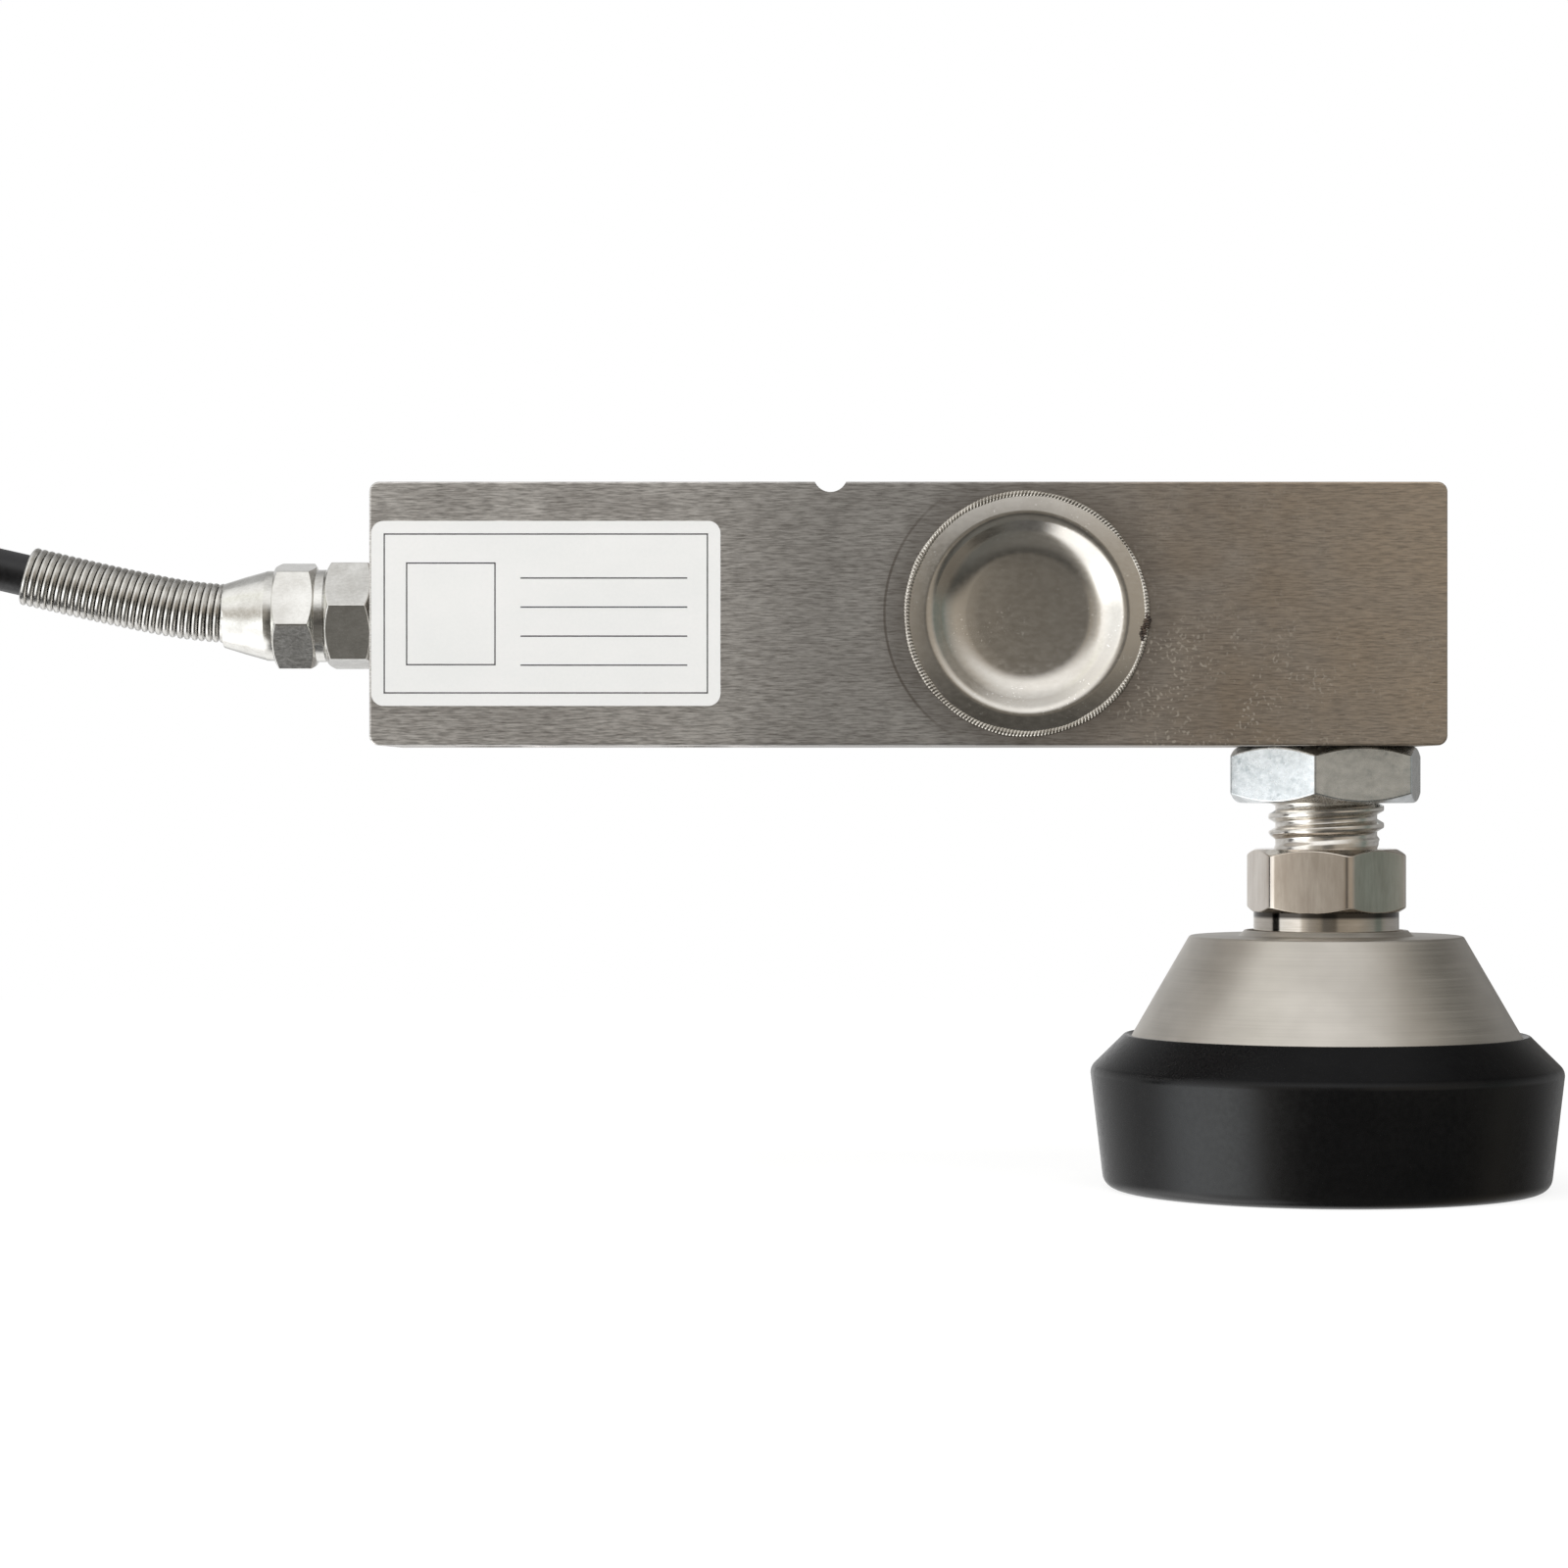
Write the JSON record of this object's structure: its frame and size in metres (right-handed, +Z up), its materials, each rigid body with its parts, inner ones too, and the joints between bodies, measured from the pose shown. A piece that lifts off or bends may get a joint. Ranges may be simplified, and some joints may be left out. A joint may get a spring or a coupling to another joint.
{
  "type": "cantilever beam load cell",
  "caption": "Square steel shear-beam load cell with welded gauge cups, a cable gland with a bend spring and a coiled cable, on a levelling stud with a swivelling rubber foot.",
  "frame": {"origin": "midway between the two mounting holes, on the beam's top face", "axes": "+X along the beam to its loaded end, +Z up out of the mounting face, -Y out of the face with the label"},
  "size_m": [0.3103, 0.0726, 0.0867],
  "materials": {
    "beam_steel": "ground",
    "cup_stainless": "pressed, bright",
    "gauge_foil": "film",
    "board_laminate": "satin",
    "resistor_ceramic": "satin",
    "copper_wire": "drawn",
    "red_insulation": "satin",
    "black_insulation": "satin",
    "green_insulation": "satin",
    "white_insulation": "satin",
    "label_paper": "satin",
    "nickel_plate": "bright",
    "seal_rubber": "matt",
    "spring_steel": "bright drawn",
    "cable_jacket": "satin",
    "tie_plastic": "satin",
    "tinned_copper": "bright",
    "zinc_plate": "zinc plated",
    "liner_bronze": "turned",
    "base_steel": "turned, satin",
    "pad_rubber": "matt"
  },
  "bodies": {
    "load_cell": {"beam_body": "beam_steel", "front_seal_cup": "cup_stainless", "rear_seal_cup": "cup_stainless", "front_strain_gauge": "gauge_foil", "rear_strain_gauge": "gauge_foil", "compensation_board": "board_laminate", "rear_terminal_strip": "board_laminate", "trim_resistors": "resistor_ceramic", "front_gauge_leads": "copper_wire", "rear_gauge_leads": "copper_wire", "link_wires": "copper_wire", "core_red": "red_insulation", "core_black": "black_insulation", "core_green": "green_insulation", "core_white": "white_insulation", "label": "label_paper", "gland_body": "nickel_plate", "gland_o_ring": "seal_rubber", "gland_seal": "seal_rubber", "gland_nut": "nickel_plate", "bend_spring": "spring_steel", "cable_run": "cable_jacket", "cable_coil": "cable_jacket", "coil_tie": "tie_plastic", "cable_tail": "cable_jacket", "lead_tips": "tinned_copper", "lead_red": "red_insulation", "lead_black": "black_insulation", "lead_green": "green_insulation", "lead_white": "white_insulation", "jam_nut": "zinc_plate"},
    "foot_carrier": {"ball_seat": "liner_bronze"},
    "stud": {"stud": "zinc_plate"},
    "swivel": {"socket_ring": "liner_bronze"},
    "foot": {"foot_base": "base_steel", "rubber_pad": "pad_rubber"}
  },
  "joints": [
    {"name": "levelling", "type": "slide", "parent": "load_cell", "child": "foot_carrier", "axis": [0, 0, 1], "range_m": [-0.008, 0.005]},
    {"name": "stud_turn", "type": "hinge", "parent": "foot_carrier", "child": "stud", "pos_m": [0.0889, 0, -0.0628], "axis": [0, 0, 1], "range_deg": [-1362, 852]},
    {"name": "foot_tilt_x", "type": "hinge", "parent": "foot_carrier", "child": "swivel", "pos_m": [0.0889, 0, -0.0628], "axis": [1, 0, 0], "range_deg": [-3, 3]},
    {"name": "foot_tilt_y", "type": "hinge", "parent": "swivel", "child": "foot", "pos_m": [0.0889, 0, -0.0628], "axis": [0, 1, 0], "range_deg": [-3, 3]}
  ],
  "couplings": [
    {"joint": "stud_turn", "follows": "levelling", "rad_per_m": 2968.4}
  ]
}
